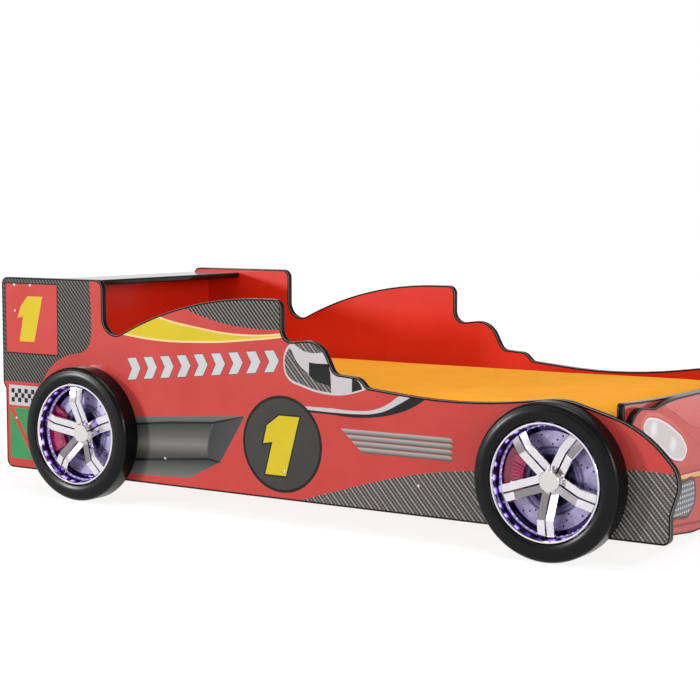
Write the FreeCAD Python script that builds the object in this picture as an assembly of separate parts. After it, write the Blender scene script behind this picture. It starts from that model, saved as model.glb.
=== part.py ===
"""Racing-car bed for children, for a 90 x 200 cm mattress, in millimetres.

Frame: +X towards the nose of the car, +Y towards its left side, +Z up.
The origin lies on the floor, below the middle of the whole bed.

Two silhouette boards with a black push-on edging form the sides of the car. A
headboard, a tail shelf, a foot board and a nose board join them. Two rails
carry the slats, four legs behind the wheels carry the rails, and each corner
has a lit dummy wheel: a hollow tyre, a rim with five double spokes, a stepped
and drilled brake disc, a caliper, a light ring and a hub cap.
"""
import FreeCAD
import Part
import math
import os

V = FreeCAD.Vector
ORIGIN = V(0, 0, 0)

# ---------------------------------------------------------------- sizes
# whole bed
BED_LENGTH = 2010.0         # headboard to foot board, for a mattress of 2 m
INNER_WIDTH = 920.0         # between the side boards
HEADBOARD_SETBACK = 55.0    # tail edge to the middle of the headboard
NOSE_REACH = 172.0          # foot board to the nose tips, over the edging
BOARD = 18.0                # thickness of every board
GROUND_CLEARANCE = 67.0     # floor to the bottom edge of the side boards
CLEARANCE = 0.3             # between parts that are pushed together
SIDE_SHARE = 0.98           # most of a side that the two arcs at its ends may take

# edging of the boards
EDGING = 2.0                # thickness in front of the board's edge
LIP = 3.0                   # reach of each lip over the board's face
LIP_PROUD = 0.5             # height of each lip over the board's face

# silhouette of the sides
FIN_RISE = 14.0             # top edge of the tail fin above the shelf
FIN_LENGTH = 416.0          # tail edge to the front of the fin
TAIL_STEP = 11.0            # the lower tail stands back by this
TAIL_STEP_HEIGHT = 321.0
TAIL_STEP_RISE = 18.0       # height of the slanted step
HUMP_TOP = 622.0            # top of the engine cover behind the driver
HUMP_LENGTH = 658.0         # front of the fin to the front of the hump
HUMP_SLOPE = 323.0          # length of its rising part
HUMP_FOOT = 467.0           # height at which it leaves the fin
COCKPIT_FLOOR = 504.5
HELMET_REACH = 129.0        # front of the hump to the corner of the helmet's back
HELMET_FALL = 78.5          # from the cockpit floor down to the helmet's foot
SCREEN_REACH = 128.0        # helmet's back to the wind deflector
SCREEN_DROP = 26.0          # slant of the wind deflector
SCREEN_FOOT = 394.8
FENDER_LOW = 368.0          # corner height of the dip before the front wheel
FENDER_DIP = 260.5          # front axle back to that dip
FENDER_CREST = 6.0          # corner of the crest above the tyre
NOSE_DROP = 244.0           # height of the widest point of the nose
NOSE_CHIN = 203.0
NOSE_TOE = 141.0
NOSE_UNDERCUT = 20.0        # the toe stands back by this
NOSE_BOW = 92.0             # reach and height of the bow over the lamps

# wheels
REAR_OVERHANG = 350.5       # tail edge to the rear axle
FRONT_OVERHANG = 330.5      # front axle to the nose tips
TYRE_RADIUS = 200.0         # the tyres stand on the floor
TYRE_WIDTH = 62.0           # from the side board outwards
TYRE_SHOULDER = 14.0
RIM_RADIUS = 151.0
RIM_DEPTH = 57.0            # bright ring in front of the side board
RIM_LIP = 5.0               # width of the bright ring
RIM_WALL = 3.0
SPOKES = 5
SPOKE_WIDTH = 20.5          # of each of the two arms
SPOKE_SLIT = 4.6
SPOKE_THICK = 9.0
SPOKE_VALLEY = 2.9          # each arm's face falls towards the slit by this
SPOKE_BEVEL = 1.2
KINK_RADIUS = 94.0          # the arms are highest here
KINK_DIP = 7.5              # the kink lies behind the bright ring by this
KINK_DROP = 12.0            # from the kink down to the arm's end in the ring
HUB_RADIUS = 28.0
HUB_SEAT = 20.0             # back of the wheel to the hub cap
HUB_CAP_LENGTH = 10.5
FRONT_PHASE = 270.0         # direction of the first spoke, degrees
REAR_PHASE = 92.0
DISC_RADIUS = 125.0
DISC_FACE = 9.0             # disc face in front of the wheel's back
DISC_THICK = 5.0
DISC_HAT = 60.0             # radius of the sunk middle
DRILL_ROWS = 12
DRILL_RADIUS = 2.6
CALIPER_ANGLE = 177.0       # middle of the caliper, degrees
CALIPER_SPAN = 66.0
CALIPER_INNER = 78.0
CALIPER_OUTER = 131.0
LIGHT_RING_WIDTH = 10.0
LIGHT_RING_THICK = 1.5
LIGHT_RING_SEAT = 17.0      # back of the wheel to the light strip

# cross boards
SHELF_TOP = 645.0
SHELF_DEPTH = 193.0
SHELF_SETBACK = 8.0         # tail edge to the back of the shelf
HEADBOARD_BOTTOM = 100.0
FOOTBOARD_TOP = 400.0
FOOTBOARD_SAG = 11.0        # the top edge dips in the middle
FOOTBOARD_BOTTOM = 90.0
NOSE_TOP = 390.0            # bonnet at the centre line
NOSE_BOTTOM = 21.0
NOSE_SIDE_BOTTOM = 62.0
LAMP_ARCH_TOP = 383.0

# base
RAIL_HEIGHT = 30.0
RAIL_THICK = 20.0
RAIL_MIDDLE = 147.0         # height of the rail and of its screws
RAIL_SCREW_PITCH = 432.5
SLATS = 12
SLAT_WIDTH = 70.0
SLAT_THICK = 14.0
LEG = 50.0
LEG_SETBACK = 60.0          # leg behind the axle, so that the wheel hides it
GLIDE_HEIGHT = 6.0
GLIDE_RADIUS = 18.0

# mattress
MATTRESS_PLAY = 3.0         # to each wall
MATTRESS_THICK = 202.0
MATTRESS_CROWN = 11.0
MATTRESS_CORNER = 55.0
MATTRESS_ROLL = 12.0        # the top and bottom edges round over by this
MATTRESS_ROLL_HEIGHT = 18.0
CROWN_SHOULDER = 90.0       # edge to where the crown has most of its height
CROWN_FLAT = 230.0          # edge to its flat top
MATTRESS_WAIST = 5.0        # the sides draw in by this

# fasteners
SCREW_RADIUS = 2.5
SCREW_LENGTH = 50.0
SCREW_HEAD_RADIUS = 3.6
SCREW_HEAD_THICK = 1.6
BOLT_RADIUS = 4.0
BOLT_HEAD_RADIUS = 8.0
BOLT_HEAD_THICK = 5.0
INSERT_RADIUS = 6.0
INSERT_LENGTH = 13.0
INSERT_FLANGE_RADIUS = 11.0
INSERT_FLANGE_THICK = 1.5
NOSE_SCREW_PITCH = 200.0
NOSE_SCREW_HEIGHT = 250.0
DRIVER_LENGTH = 120.0       # box of the wheel lights, on the headboard below the slats
DRIVER_HEIGHT = 45.0
DRIVER_DEPTH = 28.0

# ---------------------------------------------------------------- places
BODY_LENGTH = HEADBOARD_SETBACK + BOARD / 2 + BED_LENGTH + NOSE_REACH
TAIL_X = -BODY_LENGTH / 2
TIP_X = BODY_LENGTH / 2
INNER_Y = INNER_WIDTH / 2
OUTER_Y = INNER_Y + BOARD
FRONT_AXLE_X = TIP_X - FRONT_OVERHANG
REAR_AXLE_X = TAIL_X + REAR_OVERHANG
HEADBOARD_X = TAIL_X + HEADBOARD_SETBACK
BED_REAR_X = HEADBOARD_X + BOARD / 2
BED_FRONT_X = BED_REAR_X + BED_LENGTH
NOSE_BACK_X = BED_FRONT_X + BOARD + 2 * LIP_PROUD
SHELF_REAR_X = TAIL_X + SHELF_SETBACK
FIN_TOP = SHELF_TOP + FIN_RISE
RAIL_TOP = RAIL_MIDDLE + RAIL_HEIGHT / 2
RAIL_BOTTOM = RAIL_MIDDLE - RAIL_HEIGHT / 2
SLAT_TOP = RAIL_TOP + SLAT_THICK
END_GAP = LIP_PROUD + CLEARANCE         # cross boards that pass the edging's lips


# ---------------------------------------------------------------- helpers
def export(name, shape):
    """Write one sub-part; its file name is its name."""
    shape.exportStep("parts/" + name + ".step")
    print(name, round(shape.Volume), "mm3", len(shape.Solids), "solid(s)")


def mirrored(shape):
    """The same piece on the other side of the bed."""
    return shape.mirror(ORIGIN, V(0, 1, 0))


def fused(shapes):
    """One solid from several that overlap."""
    return shapes[0].multiFuse(shapes[1:]).removeSplitter()


def rounded_wire(corners, to_space):
    """Closed outline of straight lines with a tangent arc at each corner.

    corners holds (u, v, radius); to_space turns (u, v) into a point. A radius of
    0 leaves the corner sharp. Two arcs that meet on a side share its length.
    """
    count = len(corners)
    points = [V(u, v, 0) for u, v, radius in corners]
    sides = [points[i] - points[i - 1] for i in range(count)]
    halves = [(sides[i] * -1).getAngle(sides[(i + 1) % count]) / 2 for i in range(count)]
    wanted = [corners[i][2] / math.tan(halves[i]) for i in range(count)]
    room = [SIDE_SHARE * sides[i].Length / max(wanted[i - 1] + wanted[i], CLEARANCE)
            for i in range(count)]
    starts, ends, arcs = [], [], []
    for i in range(count):
        back = (sides[i] * -1).normalize()
        on = V(sides[(i + 1) % count]).normalize()
        reach = wanted[i] * min(1.0, room[i], room[(i + 1) % count])
        radius = reach * math.tan(halves[i])
        sagitta = radius / math.sin(halves[i]) - radius
        starts.append(points[i] + back * reach)
        ends.append(points[i] + on * reach)
        arcs.append(points[i] + (back + on).normalize() * sagitta)
    edges = []
    for i in range(count):
        if corners[i][2] > 0:
            edges.append(Part.Arc(to_space(starts[i]), to_space(arcs[i]), to_space(ends[i])).toShape())
        a, b = to_space(ends[i]), to_space(starts[(i + 1) % count])
        if a.distanceToPoint(b) > 1e-6:
            edges.append(Part.LineSegment(a, b).toShape())
    return Part.Wire(edges)


def side_plane(point):
    """Outline coordinates to the plane of the side boards."""
    return V(point.x, 0, point.y)


def cross_plane(point):
    """Outline coordinates to the plane of the cross boards."""
    return V(0, point.x, point.y)


def flat_plane(point):
    """Outline coordinates to the ground plane."""
    return V(point.x, point.y, 0)


def shrunk(face, inset):
    """The face with its outline drawn in by inset."""
    return face.makeOffset2D(-inset)


def edged_board(face, depth, start, direction):
    """A board of the face's outline and the U-shaped edging pushed onto it.

    The outline is the outer line of the edging. The board runs from start along
    direction by depth, and the edging's lips stand proud of both faces.
    """
    board = shrunk(face, EDGING).extrude(direction * depth)
    board.translate(direction * start)
    jacket = face.extrude(direction * (depth + 2 * LIP_PROUD))
    jacket.translate(direction * (start - LIP_PROUD))
    window = shrunk(face, EDGING + LIP).extrude(direction * (depth + 4 * LIP_PROUD))
    window.translate(direction * (start - 2 * LIP_PROUD))
    return board, jacket.cut(board).cut(window)


def box(x0, x1, y0, y1, z0, z1):
    """An upright block between two corners."""
    return Part.makeBox(x1 - x0, y1 - y0, z1 - z0, V(x0, y0, z0))


def ring_section(points):
    """Solid of revolution about Z from a closed (radius, height) outline."""
    corners = [V(r, 0, h) for r, h in points]
    face = Part.Face(Part.makePolygon(corners + corners[:1]))
    return face.revolve(ORIGIN, V(0, 0, 1), 360)


# ---------------------------------------------------------------- side boards
def side_outline():
    """Outer line of the edging of a side board, anticlockwise from the tail."""
    low_tail = TAIL_X + TAIL_STEP
    fin_front = TAIL_X + FIN_LENGTH
    hump_front = fin_front + HUMP_LENGTH
    helmet = hump_front + HELMET_REACH
    brow = helmet + 0.37 * SCREEN_REACH
    screen = helmet + SCREEN_REACH
    toe = TIP_X - NOSE_UNDERCUT
    crest = FRONT_AXLE_X + FENDER_CREST * 3.25
    half_step = TAIL_STEP_RISE / 2
    corners = [
        (low_tail, GROUND_CLEARANCE, 25),
        (toe, GROUND_CLEARANCE, 20),
        (toe, NOSE_TOE, 50),                            # chin under the nose
        (TIP_X, NOSE_CHIN, 55),
        (TIP_X, NOSE_DROP, 75),
        (TIP_X - NOSE_BOW, NOSE_DROP + 1.1 * NOSE_BOW, 300),    # long bow of the fender
        (crest, 2 * TYRE_RADIUS + FENDER_CREST, 205),
        (FRONT_AXLE_X - FENDER_DIP, FENDER_LOW, 1650),
        (screen + SCREEN_DROP, SCREEN_FOOT, 21),        # behind the wind deflector
        (screen, SCREEN_FOOT + SCREEN_DROP, 38),
        (brow, COCKPIT_FLOOR - HELMET_FALL, 29),
        (helmet, COCKPIT_FLOOR + 13.8, 74),             # the helmet's round back
        (hump_front, COCKPIT_FLOOR - 2.5, 34),
        (hump_front, HUMP_TOP, 26),
        (fin_front + HUMP_SLOPE, HUMP_TOP, 1150),       # engine cover
        (fin_front, HUMP_FOOT, 51),
        (fin_front, FIN_TOP, 28),
        (TAIL_X, FIN_TOP, 22),
        (TAIL_X, TAIL_STEP_HEIGHT + half_step, 9),
        (low_tail, TAIL_STEP_HEIGHT - half_step, 9),
    ]
    return Part.Face(rounded_wire(corners, side_plane))


def screw(reach, radius=SCREW_RADIUS):
    """A flush screw along +Y from its head's face at y = 0."""
    head = Part.makeCylinder(SCREW_HEAD_RADIUS, SCREW_HEAD_THICK, ORIGIN, V(0, 1, 0))
    shank = Part.makeCylinder(radius, reach, ORIGIN, V(0, 1, 0))
    return head.fuse(shank).removeSplitter()


def side_screws(places, reach):
    """Screws through the right side board at (x, z) places."""
    screws = []
    for x, z in places:
        one = screw(reach)
        one.translate(V(x, -OUTER_Y, z))
        screws.append(one)
    return screws


SHELF_SCREWS = [(HEADBOARD_X, SHELF_TOP - BOARD / 2), (HEADBOARD_X + 66, SHELF_TOP - BOARD / 2)]
HEADBOARD_SCREWS = [(HEADBOARD_X, 556.0), (HEADBOARD_X, 223.0)]
FOOTBOARD_SCREWS = [(BED_FRONT_X + BOARD / 2, 320.0), (BED_FRONT_X + BOARD / 2, 130.0)]
RAIL_SCREWS = [((BED_REAR_X + BED_FRONT_X) / 2 + 18 + i * RAIL_SCREW_PITCH, RAIL_MIDDLE)
               for i in (-2, -1, 0, 1, 2)]


# ---------------------------------------------------------------- cross boards
def shelf():
    """Tail shelf with its front and back edges rounded over."""
    board = box(SHELF_REAR_X, SHELF_REAR_X + SHELF_DEPTH, -INNER_Y, INNER_Y,
                SHELF_TOP - BOARD, SHELF_TOP)
    long_edges = [e for e in board.Edges if abs(e.tangentAt(e.FirstParameter).y) > 0.9]
    return board.makeFillet(BOARD * 0.3, long_edges)


def footboard_outline():
    """Foot board with small top corners and a top edge that sags in the middle."""
    half = INNER_Y - END_GAP
    corner = 9.0
    left_top = V(0, half - corner, FOOTBOARD_TOP)
    right_top = V(0, -half + corner, FOOTBOARD_TOP)
    sag = Part.Arc(left_top, V(0, 0, FOOTBOARD_TOP - FOOTBOARD_SAG), right_top).toShape()
    bend = corner * (1 - math.sqrt(0.5))
    edges = [
        sag,
        Part.Arc(right_top, V(0, -half + bend, FOOTBOARD_TOP - bend),
                 V(0, -half, FOOTBOARD_TOP - corner)).toShape(),
        Part.LineSegment(V(0, -half, FOOTBOARD_TOP - corner), V(0, -half, FOOTBOARD_BOTTOM)).toShape(),
        Part.LineSegment(V(0, -half, FOOTBOARD_BOTTOM), V(0, half, FOOTBOARD_BOTTOM)).toShape(),
        Part.LineSegment(V(0, half, FOOTBOARD_BOTTOM), V(0, half, FOOTBOARD_TOP - corner)).toShape(),
        Part.Arc(V(0, half, FOOTBOARD_TOP - corner), V(0, half - bend, FOOTBOARD_TOP - bend),
                 left_top).toShape(),
    ]
    return Part.Face(Part.Wire(edges))


def nose_outline():
    """Nose board: bonnet, an arch over each head lamp and a bowed bumper edge."""
    half = INNER_Y - END_GAP
    arch = [(half, NOSE_SIDE_BOTTOM, 12), (half, LAMP_ARCH_TOP - 36, 10),
            (half * 0.9, LAMP_ARCH_TOP + 4, 75), (half * 0.69, LAMP_ARCH_TOP - 7, 14)]
    bonnet = (half * 0.47, NOSE_TOP, 900)
    bumper = (half * 0.15, NOSE_BOTTOM, 300)
    right = [(-y, z, r) for y, z, r in [bumper] + arch + [bonnet]]
    left = [bonnet] + arch[::-1] + [bumper]
    return Part.Face(rounded_wire(right + left, cross_plane))


# ---------------------------------------------------------------- wheel
def wheel_frame(shape, axle_x):
    """Wheel coordinates (x, y in the wheel's plane, z outwards) to the right side.

    The wheel's back clears the lips of the edging, which run behind it.
    """
    placed = shape.copy()
    placed.rotate(ORIGIN, V(1, 0, 0), 90)
    placed.translate(V(axle_x, -OUTER_Y - END_GAP, TYRE_RADIUS))
    return placed


def tyre():
    """Hollow moulded tyre: tread, rounded shoulder, crowned side wall and bead."""
    wall = 4.0
    bead = RIM_RADIUS + CLEARANCE
    edge = TYRE_RADIUS - TYRE_SHOULDER
    face_h = TYRE_WIDTH - 2
    back = V(TYRE_RADIUS, 0, 0)
    shoulder = V(TYRE_RADIUS, 0, face_h - TYRE_SHOULDER)
    side = V(edge, 0, face_h)
    crown = V((edge + bead) / 2, 0, TYRE_WIDTH)
    low = V(bead, 0, RIM_DEPTH - 5)
    bend = TYRE_SHOULDER * (1 - math.sqrt(0.5))
    outer = [
        Part.LineSegment(back, shoulder).toShape(),
        Part.Arc(shoulder, V(TYRE_RADIUS - bend, 0, face_h - bend), side).toShape(),
        Part.Arc(side, crown, V(bead + 4, 0, face_h - 1)).toShape(),
        Part.LineSegment(V(bead + 4, 0, face_h - 1), low).toShape(),
    ]
    inner = [low, V(bead, 0, 0), V(bead + wall, 0, 0), V(bead + wall, 0, RIM_DEPTH - 9),
             V(edge, 0, face_h - wall - 2), V(TYRE_RADIUS - wall, 0, face_h - TYRE_SHOULDER),
             V(TYRE_RADIUS - wall, 0, 0), back]
    face = Part.Face(Part.Wire(outer + Part.makePolygon(inner).Edges))
    return face.revolve(ORIGIN, V(0, 0, 1), 360)


def spoke_arm(side):
    """One arm of a double spoke along +X: it rises from the hub to the kink and falls to the ring."""
    kink = RIM_DEPTH - KINK_DIP
    rise = (kink - HUB_SEAT) / (KINK_RADIUS - HUB_RADIUS)
    start = HUB_RADIUS / 2
    stations = [(start, kink - rise * (KINK_RADIUS - start), 1.0, SPOKE_VALLEY),
                (KINK_RADIUS, kink, 1.0, SPOKE_VALLEY),
                (RIM_RADIUS - RIM_LIP + 1, kink - KINK_DROP, 1.07, 0.0)]
    sections = []
    for radius, top, spread, valley in stations:
        near = SPOKE_SLIT / 2 * spread
        far = near + SPOKE_WIDTH * spread
        low = top - SPOKE_THICK
        line = [(near, low), (near, top - valley), (far - SPOKE_BEVEL, top),
                (far, top - SPOKE_BEVEL), (far, low)]
        points = [V(radius, side * y, h) for y, h in line]
        sections.append(Part.makePolygon(points + points[:1]))
    return Part.makeLoft(sections, True, True)


def barrel_wall():
    """The barrel's inner wall, a slight cone: (radius, height) at its foot and at its step."""
    inner = RIM_RADIUS - RIM_LIP
    return (inner - 7, RIM_WALL + 3), (inner - 4, RIM_DEPTH - 14)


def rim(phase):
    """One moulding: bright ring, deep barrel, back plate, hub and ten spoke arms."""
    inner = RIM_RADIUS - RIM_LIP
    foot, step = barrel_wall()
    barrel = ring_section([
        (BOLT_RADIUS, 0), (RIM_RADIUS, 0), (RIM_RADIUS, RIM_DEPTH - 1), (RIM_RADIUS - 1, RIM_DEPTH),
        (inner, RIM_DEPTH), (inner - 1.5, RIM_DEPTH - 3), (inner - 1.5, RIM_DEPTH - 10),
        step, foot, (inner - 10, RIM_WALL),
        (BOLT_RADIUS, RIM_WALL)])
    hub = ring_section([
        (BOLT_RADIUS, RIM_WALL - 1), (HUB_RADIUS - 4, RIM_WALL - 1), (HUB_RADIUS - 4, HUB_SEAT / 2),
        (HUB_RADIUS + 1, HUB_SEAT * 0.7), (HUB_RADIUS, HUB_SEAT), (BOLT_RADIUS, HUB_SEAT)])
    arms = []
    for i in range(SPOKES):
        for side in (-1, 1):
            arm = spoke_arm(side)
            arm.rotate(ORIGIN, V(0, 0, 1), phase + i * 360 / SPOKES)
            arms.append(arm)
    seat = Part.makeCylinder(HUB_RADIUS + CLEARANCE, RIM_DEPTH, V(0, 0, HUB_SEAT))
    bore = Part.makeCylinder(BOLT_RADIUS, 2 * RIM_DEPTH, V(0, 0, -RIM_DEPTH))
    return fused([barrel, hub] + [a.cut(seat) for a in arms]).cut(bore)


def hub_cap():
    """Round cap with a bevelled edge on the hub."""
    bolt = BOLT_HEAD_RADIUS + CLEARANCE
    pocket = HUB_SEAT + BOLT_HEAD_THICK + CLEARANCE
    face = HUB_SEAT + HUB_CAP_LENGTH
    bevel = HUB_CAP_LENGTH * 0.2
    return ring_section([
        (bolt, HUB_SEAT), (HUB_RADIUS, HUB_SEAT), (HUB_RADIUS, face - bevel),
        (HUB_RADIUS - bevel, face), (0, face), (0, pocket), (bolt, pocket)])


def brake_disc():
    """Stepped disc with a sunk middle and slanting rows of drilled holes."""
    top = DISC_FACE
    low = DISC_FACE - DISC_THICK
    hole = HUB_RADIUS + 4
    disc = ring_section([
        (hole, RIM_WALL + CLEARANCE), (DISC_HAT - 4, RIM_WALL + CLEARANCE),
        (DISC_HAT, low), (DISC_RADIUS, low), (DISC_RADIUS, top), (DISC_RADIUS * 0.67, top),
        (DISC_RADIUS * 0.655, top - 1.6), (DISC_RADIUS * 0.6, top - 1.6), (DISC_RADIUS * 0.575, top + 1.2),
        (DISC_HAT + 5, top + 1.2), (DISC_HAT, low + 2.4), (DISC_HAT - 12, low + 1.6),
        (DISC_HAT - 14, low + 2.6), (hole, low + 2.6)])
    drills = []
    for row in range(DRILL_ROWS):
        for step, share in enumerate((0.73, 0.83, 0.93)):
            angle = math.radians(row * 360 / DRILL_ROWS - step * 7)
            radius = DISC_RADIUS * share
            place = V(radius * math.cos(angle), radius * math.sin(angle), 0)
            drills.append(Part.makeCylinder(DRILL_RADIUS, 2 * DISC_FACE, place))
    return disc.cut(Part.makeCompound(drills))


def sector(inner, outer, height, low, middle, span):
    """Part of a ring between two radii, centred on an angle."""
    shape = ring_section([(inner, low), (outer, low), (outer, low + height), (inner, low + height)])
    wedge = Part.makeCylinder(outer * 2, height * 4, V(0, 0, low - height), V(0, 0, 1), span)
    wedge.rotate(ORIGIN, V(0, 0, 1), middle - span / 2)
    return shape.common(wedge)


def caliper():
    """Curved caliper that bridges the disc's edge, with cooling ribs on its face."""
    low = RIM_WALL + CLEARANCE
    face = DISC_FACE + 1.5
    body = sector(CALIPER_INNER, CALIPER_OUTER, 11, face, CALIPER_ANGLE, CALIPER_SPAN)
    bridge = sector(DISC_RADIUS + 1, CALIPER_OUTER, face + 2 - low, low, CALIPER_ANGLE, CALIPER_SPAN)
    pads = [sector(CALIPER_INNER + 7, CALIPER_OUTER - 14, 3, face + 10, CALIPER_ANGLE + turn, 9)
            for turn in (-25, 25)]
    ribs = [sector(CALIPER_INNER + 5, CALIPER_OUTER - 22, 5, face + 10, CALIPER_ANGLE + turn, 2.4)
            for turn in (-17.5, -12.5, -7.5, -2.5, 2.5, 7.5, 12.5, 17.5)]
    return fused([body, bridge] + pads + ribs)


def light_ring():
    """Light strip around the barrel's wall, facing the disc, behind the arms' ends."""
    (foot, low), (step, high) = barrel_wall()
    cone = (step - foot) / (high - low)
    line = []
    for inset in (CLEARANCE, CLEARANCE + LIGHT_RING_THICK):
        for height in (LIGHT_RING_SEAT, LIGHT_RING_SEAT + LIGHT_RING_WIDTH):
            line.append((foot + cone * (height - low) - inset, height))
    return ring_section([line[0], line[1], line[3], line[2]])


def wheel_bolt():
    """Bolt through the hub into an insert nut that lies flush in the side board."""
    head = Part.makeCylinder(BOLT_HEAD_RADIUS, BOLT_HEAD_THICK, V(0, 0, HUB_SEAT))
    inner_face = -BOARD - END_GAP
    shank = Part.makeCylinder(BOLT_RADIUS, HUB_SEAT + INSERT_LENGTH, V(0, 0, -INSERT_LENGTH))
    barrel = Part.makeCylinder(INSERT_RADIUS, INSERT_LENGTH, V(0, 0, inner_face))
    flange = Part.makeCylinder(INSERT_FLANGE_RADIUS, INSERT_FLANGE_THICK, V(0, 0, inner_face))
    return fused([head, shank, barrel, flange])


# ---------------------------------------------------------------- mattress
def mattress():
    """Foam mattress: crowned top, sides drawn in at mid height, round corners."""
    half_x = BED_LENGTH / 2 - MATTRESS_PLAY
    half_y = INNER_Y - MATTRESS_PLAY
    middle_x = (BED_REAR_X + BED_FRONT_X) / 2
    low = SLAT_TOP + CLEARANCE
    edge = low + MATTRESS_THICK - MATTRESS_CROWN
    levels = [(low, MATTRESS_ROLL), (low + MATTRESS_ROLL_HEIGHT, 0.0),
              ((low + edge) / 2, MATTRESS_WAIST),
              (edge - MATTRESS_ROLL_HEIGHT, 0.0), (edge, MATTRESS_ROLL)]
    wires = []
    for z, inset in levels:
        x, y = half_x - inset, half_y - inset
        ring = [(-x, -y, MATTRESS_CORNER), (x, -y, MATTRESS_CORNER),
                (x, y, MATTRESS_CORNER), (-x, y, MATTRESS_CORNER)]
        wire = rounded_wire(ring, flat_plane)
        wire.translate(V(middle_x, 0, z))
        wires.append(wire)
    core = Part.makeLoft(wires, True, False)
    rings = [wires[-1]]
    for inset, rise in ((CROWN_SHOULDER, 0.75), (CROWN_FLAT, 1.0)):
        x, y = half_x - MATTRESS_ROLL - inset, half_y - MATTRESS_ROLL - inset
        ring = rounded_wire([(-x, -y, CROWN_SHOULDER), (x, -y, CROWN_SHOULDER),
                             (x, y, CROWN_SHOULDER), (-x, y, CROWN_SHOULDER)], flat_plane)
        ring.translate(V(middle_x, 0, edge + MATTRESS_CROWN * rise))
        rings.append(ring)
    crown = Part.makeLoft(rings, True, True)
    return core.fuse(crown)


# ---------------------------------------------------------------- assembly
def main():
    os.makedirs("parts", exist_ok=True)

    wall_screws = side_screws(SHELF_SCREWS + HEADBOARD_SCREWS + FOOTBOARD_SCREWS, SCREW_LENGTH)
    rail_screws = side_screws(RAIL_SCREWS, BOARD + RAIL_THICK - 3)
    wheel_bolts = [wheel_frame(wheel_bolt(), x) for x in (REAR_AXLE_X, FRONT_AXLE_X)]
    fasteners = Part.makeCompound(wall_screws + rail_screws + wheel_bolts)

    board, edging = edged_board(side_outline(), BOARD, -OUTER_Y, V(0, 1, 0))
    board = board.cut(fasteners)
    export("side_panel_right", board)
    export("side_panel_left", mirrored(board))
    export("side_edging_right", edging)
    export("side_edging_left", mirrored(edging))

    both_sides = Part.makeCompound([fasteners, mirrored(fasteners)])
    headboard = box(HEADBOARD_X - BOARD / 2, BED_REAR_X, -INNER_Y, INNER_Y,
                    HEADBOARD_BOTTOM, SHELF_TOP - BOARD)
    export("headboard", headboard.cut(both_sides))
    export("tail_shelf", shelf().cut(both_sides))

    nose_screws = []
    for place in (-1.5, -0.5, 0.5, 1.5):
        one = screw(2 * BOARD - 5)
        one.rotate(ORIGIN, V(0, 0, 1), -90)
        one.translate(V(BED_FRONT_X, place * NOSE_SCREW_PITCH, NOSE_SCREW_HEIGHT))
        nose_screws.append(one)
    nose_fasteners = Part.makeCompound(nose_screws)
    foot, foot_edging = edged_board(footboard_outline(), BOARD, BED_FRONT_X, V(1, 0, 0))
    nose, nose_edging = edged_board(nose_outline(), BOARD, NOSE_BACK_X, V(1, 0, 0))
    export("foot_board", foot.cut(both_sides).cut(nose_fasteners))
    export("foot_board_edging", foot_edging.cut(both_sides))
    export("nose_board", nose.cut(nose_fasteners))
    export("nose_board_edging", nose_edging)

    rail = box(BED_REAR_X + CLEARANCE, BED_FRONT_X - LIP_PROUD - CLEARANCE, -INNER_Y,
               -INNER_Y + RAIL_THICK, RAIL_BOTTOM, RAIL_TOP).cut(fasteners)
    export("slat_rail_right", rail)
    export("slat_rail_left", mirrored(rail))

    pitch = (BED_LENGTH - 2 * SLAT_WIDTH) / (SLATS - 1)
    slat_half = INNER_Y - MATTRESS_PLAY
    for i in range(SLATS):
        x = BED_REAR_X + SLAT_WIDTH + i * pitch
        slat = box(x - SLAT_WIDTH / 2, x + SLAT_WIDTH / 2, -slat_half, slat_half, RAIL_TOP, SLAT_TOP)
        export("slat_%02d" % (i + 1), slat)

    leg_outer = -INNER_Y + END_GAP
    glides = []
    for end, axle_x in (("rear", REAR_AXLE_X), ("front", FRONT_AXLE_X)):
        x = axle_x - LEG_SETBACK
        leg = box(x - LEG / 2, x + LEG / 2, leg_outer, leg_outer + LEG, GLIDE_HEIGHT, RAIL_BOTTOM)
        export("leg_%s_right" % end, leg)
        export("leg_%s_left" % end, mirrored(leg))
        for side in (-1, 1):
            place = V(x, side * (INNER_Y - END_GAP - LEG / 2), 0)
            glides.append(Part.makeCylinder(GLIDE_RADIUS, GLIDE_HEIGHT, place))
    export("leg_glides", Part.makeCompound(glides))

    driver_low = HEADBOARD_BOTTOM + 5
    driver = box(BED_REAR_X, BED_REAR_X + DRIVER_DEPTH, -DRIVER_LENGTH / 2, DRIVER_LENGTH / 2,
                 driver_low, driver_low + DRIVER_HEIGHT)
    outer_edges = [e for e in driver.Edges if e.BoundBox.XMin > BED_REAR_X + 1]
    export("light_driver", driver.makeFillet(4, outer_edges))

    for end, axle_x, phase in (("rear", REAR_AXLE_X, REAR_PHASE), ("front", FRONT_AXLE_X, FRONT_PHASE)):
        pieces = (("tyre", tyre()), ("rim", rim(phase)), ("hub_cap", hub_cap()),
                  ("brake_disc", brake_disc()), ("caliper", caliper()), ("light_ring", light_ring()))
        for name, shape in pieces:
            placed = wheel_frame(shape, axle_x)
            export("%s_%s_right" % (name, end), placed)
            export("%s_%s_left" % (name, end), mirrored(placed))

    export("mattress", mattress())
    export("wall_screws", Part.makeCompound(wall_screws + [mirrored(s) for s in wall_screws]))
    export("rail_screws", Part.makeCompound(rail_screws + [mirrored(s) for s in rail_screws]))
    export("nose_screws", nose_fasteners)
    export("wheel_bolts", Part.makeCompound(wheel_bolts + [mirrored(b) for b in wheel_bolts]))


main()
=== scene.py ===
"""Looks of the racing-car bed: printed films, lit wheels, padded mattress, studio.

Everything is in metres in the frame of the bed: +X to the nose, +Y to its left
side, +Z up. Outlines of the print are written in millimetres and turned to
metres where a mesh is made.
"""

import math

import bpy
import numpy as np
from mathutils import Matrix, Vector
from mathutils.geometry import delaunay_2d_cdt


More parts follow.
